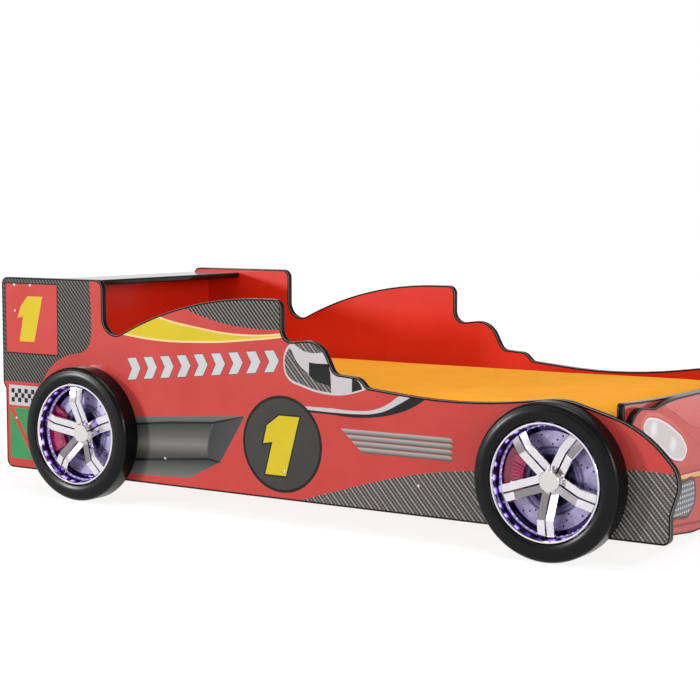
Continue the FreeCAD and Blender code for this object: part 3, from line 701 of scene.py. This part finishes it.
def grown(outline, by):
    """A convex-cornered outline moved outwards along the mean of its neighbours' normals."""
    p = np.asarray(outline, dtype=float)
    before, after = p - np.roll(p, 1, axis=0), np.roll(p, -1, axis=0) - p
    unit = [v / np.linalg.norm(v, axis=1)[:, None] for v in (before, after)]
    normal = [np.stack([v[:, 1], -v[:, 0]], axis=1) for v in unit]
    turn = np.sum(p[:, 0] * np.roll(p[:, 1], -1) - np.roll(p[:, 0], -1) * p[:, 1])
    mean = normal[0] + normal[1]
    mean /= np.maximum(np.sum(mean * normal[0], axis=1), 0.35)[:, None]
    return p + mean * by * np.sign(turn)


def chevrons(count):
    """A row of equal arrow heads that point to the nose, along a line that rises slightly."""
    head = np.array([(0.0, 0.0), (0.52, 0.0), (0.8, 0.5), (0.52, 1.0), (0.0, 1.0), (0.28, 0.5)])
    at = (np.arange(count)[:, None] + head[None, :, 0]) / (count - 0.2)
    z = 368 + at * 55 + head[None, :, 1] * (64 - 4 * at)
    return list(np.stack([-610 + at * 553, z], axis=-1))


def flank_areas(mirror):
    """Areas of a flank's print, from the lowest layer to the top one."""
    tail = line_of((-762, 690), bowed([(-762, 690), (-753, 592), (-752, 550), (-755, 483), (-764, 458),
                                       (-787, 442), (-844, 429), (-885, 413), (-927, 381),
                                       (-951, 350), (-962, 336)]), (-1150, 336), (-1150, 690))
    square = np.array([(-1106, 427), (-891, 427), (-891, 639), (-1106, 639)])
    tail_one = numeral_one([(-1014, 602), (-951, 602), (-987, 462), (-1050, 462), (-1034, 538),
                            (-1059, 534), (-1042, 572)], -1003, mirror)
    plate = np.array([(-1099, 262), (-900, 262), (-900, 325), (-1099, 325)])
    i, j = np.meshgrid(np.arange(12), np.arange(3))
    cells = np.stack([i.ravel(), j.ravel()], axis=1)[(i + j).ravel() % 2 == 0]
    corner = np.array([(0, 0), (1, 0), (1, 1), (0, 1)])
    checks = list((cells[:, None, :] + corner * 0.998) * 14.0 + np.array([-1089, 272.5]))
    green = np.array([(-1096, 97), (-900, 97), (-900, 254), (-1096, 254)])
    slash = np.array([(-1096, 250), (-1080, 254), (-1000, 125), (-1000, 97)])
    low = [(-700, 512), (-630, 501), (-539, 491), (-442, 487), (-348, 489), (-255, 494),
           (-165, 503), (-98, 510), (-30, 519)]
    high = [(-30, 532), (-98, 524), (-164, 521), (-255, 524), (-347, 535), (-442, 549),
            (-489, 560), (-540, 576)]
    sweep_edge = line_of(bowed(low), bowed(high), (-700, 620))
    sweep = line_of(bowed(low) + (0, 5.5), bowed(high) - (0, 5.0), (-700, 620))
    cover = line_of(bowed([(-440, 604), (-394, 586), (-347, 571), (-291, 557), (-232, 545),
                           (-164, 539), (-98, 537), (-20, 540)]), (-20, 660), (-440, 660))
    marks = chevrons(9)
    pod = np.array([(-640, 257), (-572, 262), (-175, 291), (-265, 153), (-380, 97), (-640, 89)])
    tube = line_of((-640, 234), (-566, 238), (-445, 252), bowed([(-292, 262), (-304, 230), (-311, 193),
                                                                 (-311, 159)]), (-568, 137), (-640, 133))
    tube_top = np.array([(-640, 234), (-566, 238), (-445, 250), (-292, 260), (-257, 268), (-184, 288),
                         (-178, 291), (-258, 274), (-290, 267), (-445, 257), (-566, 244), (-640, 240)])
    tube_low = np.array([(-640, 128), (-568, 132), (-309, 154), (-265, 151), (-266, 155), (-310, 162),
                         (-568, 139), (-640, 136)])
    pod_end = line_of(bowed([(-288, 262), (-300, 230), (-307, 193), (-307, 160)]), (-265, 154),
                      (-179, 289), (-257, 270))
    centre = (-47.2, 221.8)
    round_one = numeral_one([(-57, 301), (12, 301), (-34, 134), (-105, 134), (-80, 226), (-112, 220),
                             (-99, 271)], -49, mirror)
    white = line_of(bowed([(20, 333), (116, 333), (203, 332), (246, 336), (288, 350), (340, 384),
                           (365, 402)]), bowed([(400, 398), (376, 382), (334, 358), (288, 336),
                                                (246, 326), (203, 323), (116, 322), (20, 323)]))
    black = line_of(bowed([(30, 324), (116, 322), (203, 323), (246, 326), (288, 336), (334, 358),
                           (376, 382), (400, 398)]), bowed([(440, 392), (421, 379), (372, 350),
                                                            (309, 328), (258, 318), (190, 313),
                                                            (116, 316), (30, 318)]))
    slope = np.array([(149, LOUVRE_TOP), (220, 219)])
    louvres = []
    for row in range(4):
        top = LOUVRE_TOP - row * LOUVRE_PITCH
        bottom = top - LOUVRE_HEIGHT
        left = np.interp([bottom, top], slope[::-1, 1], slope[::-1, 0])
        louvres.append(np.array([(left[1], top), (488, top), (498, top - 4), (500, bottom + 2),
                                 (498, bottom), (left[0], bottom)]))
    sill = line_of(bowed([(-60, 45), (21, 73), (181, 122), (288, 153), (413, 182), (566, 203),
                          (700, 222), (850, 238), (991, 244), (1160, 241)]), (1160, 20), (-60, 20))
    helmet = line_of(bowed([(0, 530), (-14, 506), (-29, 492), (-39, 471), (-41, 443), (-35, 417),
                            (-18, 399), (18, 387), (63, 375), (120, 369), (164, 372), (198, 380),
                            (224, 388), (255, 402)], 4.0), (300, 480), (150, 600))
    shell = line_of(bowed([(-20, 492), (-34, 471), (-37, 448), (-32, 424), (-17, 406), (18, 393),
                           (63, 381), (119, 375)], 4.0), (118, 393), (94, 397), (72, 402),
                    bowed([(43, 418), (11, 442), (-9, 467), (-20, 492)], 4.0))
    cap = line_of(bowed([(-6, 503), (7, 495), (27, 484), (45, 481), (67, 480), (92, 484)], 4.0),
                  bowed([(86, 495), (63, 508), (27, 514), (4, 510)], 4.0))
    visor = line_of((45, 454), (72, 452), (109, 453), (116, 428), (118, 393), (94, 397), (72, 402),
                    (45, 417))
    strap = line_of(bowed([(-16, 488), (0, 459), (20, 438), (44, 423)], 4.0),
                    bowed([(44, 420), (18, 435), (-3, 457), (-18, 484)], 4.0))
    collar = line_of((186, 418), bowed([(201, 415), (213, 404), (220, 391)], 4.0), (186, 381))
    return [
        (INK_TWILL, [tail]), (INK_BOLD_TWILL, [cover]), (INK_FINE_TWILL, [sill]),
        (INK_BLACK, [grown(square, 4.0)]), (INK_RED, [square]),
        (INK_AMBER, [tail_one]), (INK_YELLOW, [grown(tail_one, -2.6)]),
        (INK_WHITE, [plate]), (INK_BLACK, checks), (INK_GREEN, [green]), (INK_RED, [slash]),
        (INK_CREAM, [sweep_edge]), (INK_YELLOW, [sweep]),
        (INK_SLATE, [grown(mark, 1.6) for mark in marks]), (INK_PALE, marks),
        (INK_POD, [pod]), (INK_TUBE, [tube]), (INK_POD_END, [pod_end]), (INK_BLACK, [tube_top]),
        (INK_BLACK, [tube_low]),
        (INK_WHITE, [white]), (INK_BLACK, [black]), (INK_LOUVRE, louvres),
        (INK_BLACK, [ring(centre, 135.5)]), (INK_SLATE, [ring(centre, 127.0)]),
        (INK_BLACK, [grown(round_one, 4.5)]), (INK_YELLOW, [round_one]),
        (INK_WHITE, [helmet]), (INK_FINE_TWILL, [shell, cap]), (INK_VISOR, [visor]),
        (INK_BLACK, [strap, collar]),
    ]


for side, sign in SIDES.items():
    film("flank_print_" + side, "side_edging_" + side, flank_areas(sign > 0), INK_RED, 1, OUTER_Y, sign)


# ---------------------------------------- print of the nose
INK_NOSE = print_plain("nose_red_printed_film", "d04842", "d6524c")
INK_BONNET = print_shade("bonnet_printed_film", 0.0, 250, 400,
                         [(0.0, "d4524b"), (0.5, "dc645c"), (1.0, "e2756d")])
INK_BUMPER = print_plain("bumper_red_printed_film", "c2403b", "cb4843")
INK_GLARE = print_plain("lamp_glare_printed_film", "ece7ea", "f3eff1")
INK_STRIP = print_shade("strip_printed_film", 0.0, 166, 190,
                        [(0.0, "e59a4e"), (0.4, "eeb877"), (1.0, "f0c084")])
INK_FOLD = print_plain("fold_line_printed_film", "b5403c", "bb4743")


def print_grille(name):
    """Printed mesh of an intake: grey ground with pale dots in staggered rows 14 mm apart."""
    material, tree, shader, place = print_base(name)
    dots = calc(tree, "MULTIPLY", *[ripple(tree, vector(tree, "DOT_PRODUCT", place, slant), 28.0)
                                    for slant in ((0.0, 1.0, 1.0), (0.0, 1.0, -1.0))])
    painted(shader, span(tree, dots, -1.0, 1.0),
            [(0.0, "636368"), (0.55, "77777c"), (0.76, "8c8c91"),
             (0.88, "dfdfe2"), (1.0, "e6e6e8")])
    return material


def print_lens(name, glows):
    """Printed lamp glass: pale lavender grey with two soft white glows, the same on both sides of the car.

    Each glow is a place Y, Z and a radius, in millimetres.
    """
    material, tree, shader, place = print_base(name)
    split = add(tree, "SeparateXYZ", {0: place})
    flat = add(tree, "CombineXYZ", {0: 0.0, 1: calc(tree, "ABSOLUTE", split.outputs["Y"]),
                                    2: split.outputs["Z"]}).outputs[0]
    light = calc(tree, "MAXIMUM", *[
        span(tree, vector(tree, "DISTANCE", flat, (0.0, y * MM, z * MM)), radius * MM,
             0.25 * radius * MM, smooth=True) for y, z, radius in glows])
    painted(shader, light, [(0.0, "dcd3d3"), (0.5, "e4dcdc"), (1.0, "f6f2f2")])
    return material


INK_GRILLE = print_grille("grille_printed_film")
INK_LAMP = print_lens("lamp_printed_film", ((322, 326, 34), (200, 272, 32)))


def nose_areas():
    """Areas of the nose's print: bonnet, lamps, bumper strip, intakes and sill lines."""
    def both(outline):
        """An outline and its mirror image."""
        outline = np.asarray(outline, dtype=float)
        return [outline, outline * (-1, 1)]

    def stripe(points, width):
        """A line of even width: the smooth line and its copy set lower, end to end."""
        upper = bowed(points)
        return line_of(upper, (upper - (0, width))[::-1])

    def whole(points):
        """A smooth line from one flank to the middle, and its mirror image back out."""
        return line_of(bowed(points), bowed([(-y, z) for y, z in points[::-1]]))

    hood = [(-330, 430), (-243, 371), (-190, 352), (-147, 333), (-80, 307), (0, 292)]
    bonnet, crease = whole(hood), stripe(hood, 3.6)
    fold = stripe([(-109, 292), (-68, 273), (-25, 252), (0, 246)], 3.0)
    bumper = line_of((-470, 232), whole([(-360, 236), (-230, 214), (-120, 205), (0, 196)]),
                     (470, 232), (470, 10), (-470, 10))
    lamp = bowed([(-386, 338), (-372, 352), (-321, 353), (-264, 339), (-190, 309), (-131, 275),
                  (-109, 246), (-127, 226), (-172, 226), (-231, 246), (-290, 278), (-347, 303),
                  (-378, 321), (-386, 338)], 5.0)[:-1]
    brow = bowed([(-400, 344), (-376, 364), (-318, 365), (-256, 350), (-180, 318), (-118, 280),
                  (-94, 244), (-120, 214), (-176, 214), (-238, 236), (-298, 269), (-354, 294),
                  (-392, 316), (-400, 344)], 5.0)[:-1]
    strip = line_of((-470, 190), (-140, 184), (0, 179), (0, 165), (-140, 173), (-470, 176))
    intake = line_of((-470, 160), bowed([(-132, 162), (-58, 154), (-51, 131), (-56, 107), (-88, 79),
                                         (-173, 80)], 6.0), (-470, 84))
    lip = stripe([(-470, 66), (-172, 60), (-13, 47), (0, 46)], 8.0)
    edge = stripe([(-470, 40), (-179, 37), (-12, 25), (0, 24)], 3.0)
    return [
        (INK_BONNET, [bonnet]), (INK_BUMPER, [bumper]), (INK_FOLD, both(crease) + both(fold)),
        (INK_BONNET, both(brow)), (INK_BUMPER, both(grown(lamp, 3.4))), (INK_GLARE, both(lamp)),
        (INK_LAMP, both(grown(lamp, -6.0))),
        (INK_DEEP_RED, both(line_of((-470, 194), (-140, 188), (0, 183), (0, 161), (-140, 169),
                                    (-470, 172)))),
        (INK_STRIP, both(strip)),
        (INK_DEEP_RED, both(grown(intake, 9.0))), (INK_BLACK, both(grown(intake, 5.0))),
        (INK_GRILLE, both(intake)), (INK_DEEP_RED, both(lip) + both(edge)),
    ]


film("nose_print", "nose_board_edging", nose_areas(), INK_NOSE, 0, NOSE_X, 1)


# ---------------------------------------- screw heads
SCREW_PLACES = np.array([(-1068, 636), (-1002, 636), (-1068, 556), (-1068, 223), (-901, 147),
                         (-468.5, 147), (-36, 147), (396.5, 147), (829, 147)])


def screw_heads(side, sign):
    """Domed heads with a six-sided recess: rings of a profile turned round each screw's axis."""
    radius = np.array([3.9, 3.9, 3.4, 2.5, 1.7, 1.5])
    height = np.array([FILM, 0.75, 1.15, 1.35, 1.3, 0.5])
    recess, turns = 0.45, 18
    angle = np.arange(turns) * 2 * math.pi / turns
    u = np.append((radius[:, None] * np.cos(angle)).ravel(), [0.0, 0.0])
    v = np.append((radius[:, None] * np.sin(angle)).ravel(), [0.0, 0.0])
    h = np.append(np.repeat(height, turns), [recess, FILM])
    number = len(SCREW_PLACES)
    out = np.broadcast_to(sign * (OUTER_Y + h), (number, len(h)))
    points = np.stack([SCREW_PLACES[:, 0:1] + u, out, SCREW_PLACES[:, 1:2] + v], axis=-1).reshape(-1, 3)
    faces = copies(dome_faces(len(radius), turns), number, len(h), sign > 0)
    piece("screw_heads_" + side, points * MM, faces, [SCREW_STEEL], smooth=True)


for side, sign in SIDES.items():
    screw_heads(side, sign)


# ---------------------------------------- light diodes in the wheels
DIODE = glow("violet_diode", "a98af0", 0.9)


def diodes(end, side, sign):
    """Small domes evenly round the light strip: a profile turned round each, pointing to the axle."""
    middle = node_middle("light_ring_%s_%s" % (end, side))
    turns, rows = 8, 3
    wide, tall, seat = 2.6 * MM, 1.5 * MM, 138.55 * MM
    lift = np.linspace(0, math.pi / 2, rows + 1)[:-1]
    about = np.arange(turns) * 2 * math.pi / turns
    across = np.append((wide * np.cos(lift)[:, None] * np.cos(about)).ravel(), [0.0, 0.0])
    deep = np.append((wide * np.cos(lift)[:, None] * np.sin(about)).ravel(), [0.0, 0.0])
    radius = seat - np.append(np.repeat(tall * np.sin(lift), turns), [tall, 0.0])
    spin = np.arange(DIODES)[:, None] * 2 * math.pi / DIODES
    x = middle.x + radius * np.cos(spin) - across * np.sin(spin)
    z = middle.z + radius * np.sin(spin) + across * np.cos(spin)
    y = np.broadcast_to(middle.y + sign * deep, x.shape)
    piece("diodes_%s_%s" % (end, side), np.stack([x, y, z], -1).reshape(-1, 3),
          copies(dome_faces(rows, turns), DIODES, len(across), sign < 0), [DIODE], smooth=True)


for end in ENDS:
    for side, sign in SIDES.items():
        diodes(end, side, sign)


# ---------------------------------------- mattress
def padded_mattress():
    """The CAD form remeshed, swollen by cloth pressure and drawn back to its space.

    It starts a few millimetres inside its box, swells by 12 mm at most and is
    held 0.4 mm inside the box, whose top is raised by 2 mm.
    """
    swell, play, rise, frames = 12 * MM, 0.4 * MM, 2 * MM, 20
    made = placed("mattress_pad", nodes["mattress"].data.copy())
    made.data.materials.clear()
    made.data.materials.append(COVER_CLOTH)
    bpy.context.view_layer.objects.active = made
    made.modifiers.new("weld", "WELD").merge_threshold = 1e-5
    remesh = made.modifiers.new("remesh", "REMESH")
    remesh.mode = "VOXEL"
    remesh.voxel_size = 16 * MM
    fresh = settle(made)
    rest = read(fresh.vertices, "co", 3)
    low, high = [np.array(corner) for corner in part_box("mattress")]
    middle = (low + high) / 2
    start = middle + (rest - middle) * (1 - np.array([6, 6, 8]) * MM / (high - low))
    fresh.vertices.foreach_set("co", start.ravel())
    fresh.update()
    cloth = made.modifiers.new("cloth", "CLOTH")
    cloth.settings.use_pressure = True
    cloth.settings.uniform_pressure_force = 4.0
    cloth.settings.effector_weights.gravity = 0.0
    cloth.settings.quality = 4
    cloth.collision_settings.use_collision = False
    for step in range(1, frames + 1):
        bpy.context.scene.frame_set(step)
    swollen = settle(made)
    shift = read(swollen.vertices, "co", 3) - start
    length = np.linalg.norm(shift, axis=1)[:, None]
    shift *= np.minimum(1.0, swell / np.maximum(length, 1e-9))
    moved = np.clip(start + shift, low + play, high + (0, 0, rise) - play)
    swollen.vertices.foreach_set("co", moved.ravel())
    swollen.update()
    bpy.context.scene.frame_set(1)
    made.data.polygons.foreach_set("use_smooth", np.full(len(made.data.polygons), True))
    smooth = made.modifiers.new("smooth", "SUBSURF")
    smooth.levels = smooth.render_levels = 1
    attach(made, "mattress")
    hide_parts("mattress")


padded_mattress()


# ---------------------------------------- studio
def eye_and_mirror(tree, rays):
    """One for rays from the camera or from a reflection, else nought."""
    return calc(tree, "MAXIMUM", rays.outputs["Is Camera Ray"], rays.outputs["Is Glossy Ray"])


def studio_floor():
    """A wide floor lit from below as in a light tent: white, with a faint shadow of the bed and a painted
    shade round it, where its own glow is weaker.
    """
    reach, below = 14.0, -0.0005
    material = bpy.data.materials.new("matt_white_floor")
    tree = bare_tree(material)
    place = add(tree, "TexCoord").outputs["Object"]
    tint = ramped(tree, cloudy(tree, place, 3.0), [(0.3, 0.2), (0.7, 0.21)])
    paint = add(tree, "BsdfDiffuse", {"Color": tint})
    # Painted shade: the floor's glow is 0.86 near the middle of the bed and 0.98 far out, so the bed's
    # shadow shows.
    shown = span(tree, vector(tree, "LENGTH", place), 1.3, 4.5, 0.86, 0.98, smooth=True)
    share = span(tree, eye_and_mirror(tree, add(tree, "LightPath")), 0.0, 1.0, 0.4)
    white = add(tree, "Emission", {"Color": grey(1.0), "Strength": calc(tree, "MULTIPLY", shown, share)})
    mix = add(tree, "AddShader", {0: paint.outputs[0], 1: white.outputs[0]})
    add(tree, "OutputMaterial", {"Surface": mix.outputs[0]})
    mesh = bpy.data.meshes.new("studio_floor")
    mesh.from_pydata([(-reach, -reach, below), (reach, -reach, below), (reach, reach, below),
                      (-reach, reach, below)], [], [(0, 1, 2, 3)])
    mesh.materials.append(material)
    floor = placed("studio_floor", mesh)


def studio_world():
    """White round the horizon for the eye and for reflections, softer light for matt surfaces."""
    world = bpy.data.worlds.new("studio")
    bpy.context.scene.world = world
    tree = bare_tree(world)
    height = add(tree, "SeparateXYZ", {0: add(tree, "TexCoord").outputs["Generated"]})
    ceiling = add(tree, "ValToRGB", {"Fac": height.outputs["Z"]},
                  [(0.0, grey(1.0)), (0.125, grey(1.0)), (0.2, (0.4, 0.38, 0.365, 1.0)),
                   (1.0, (0.3, 0.29, 0.28, 1.0))])
    rays = add(tree, "LightPath")
    seen = calc(tree, "MAXIMUM", eye_and_mirror(tree, rays), rays.outputs["Is Transmission Ray"])
    shown = add(tree, "Background", {"Color": ceiling.outputs[0], "Strength": 1.0})
    light = add(tree, "Background", {"Color": grey(1.0), "Strength": 0.34})
    mix = add(tree, "MixShader", {0: seen, 1: light.outputs[0], 2: shown.outputs[0]})
    add(tree, "OutputWorld", {"Surface": mix.outputs[0]})


def lamp(name, place, target, size, power):
    """A soft square lamp that looks at a point."""
    data = bpy.data.lights.new(name, "AREA")
    data.shape = "RECTANGLE"
    data.size, data.size_y = size
    data.energy = power
    way = (Vector(target) - Vector(place)).to_track_quat("-Z", "Y")
    placed(name, data).matrix_world = Matrix.Translation(place) @ way.to_matrix().to_4x4()


studio_floor()
studio_world()
lamp("key", (-6.3, -7.0, 1.9), (0.0, -0.5, 0.3), (0.8, 0.8), 400.0)
lamp("top", (-2.3, -3.1, 2.6), (0.0, -0.3, 0.3), (3.0, 1.3), 30.0)
lamp("overhead", (0.3, -0.3, 4.2), (0.1, -0.1, 0.3), (3.0, 2.4), 82.0)
lamp("front", (5.0, -1.8, 1.8), (0.9, 0.0, 0.3), (1.8, 1.4), 105.0)


# ---------------------------------------- camera, fitted to the photo
yaw, pitch = math.radians(34.0415), math.radians(4.9686)
ahead = Vector((-math.sin(yaw) * math.cos(pitch), math.cos(yaw) * math.cos(pitch), -math.sin(pitch)))
right = Vector((math.cos(yaw), math.sin(yaw), 0.0))
up = right.cross(ahead)
camera_data = bpy.data.cameras.new("photo_view")
camera_data.lens = 86.1975
camera_data.sensor_width = 36.0
camera_data.clip_end = 100.0
camera = placed("photo_view", camera_data)
camera.matrix_world = Matrix.Translation((2.6794, -4.1780, 0.8826)) @ Matrix(
    (right, up, -ahead)).transposed().to_4x4()
bpy.context.scene.camera = camera

bpy.context.scene.view_settings.view_transform = "Standard"
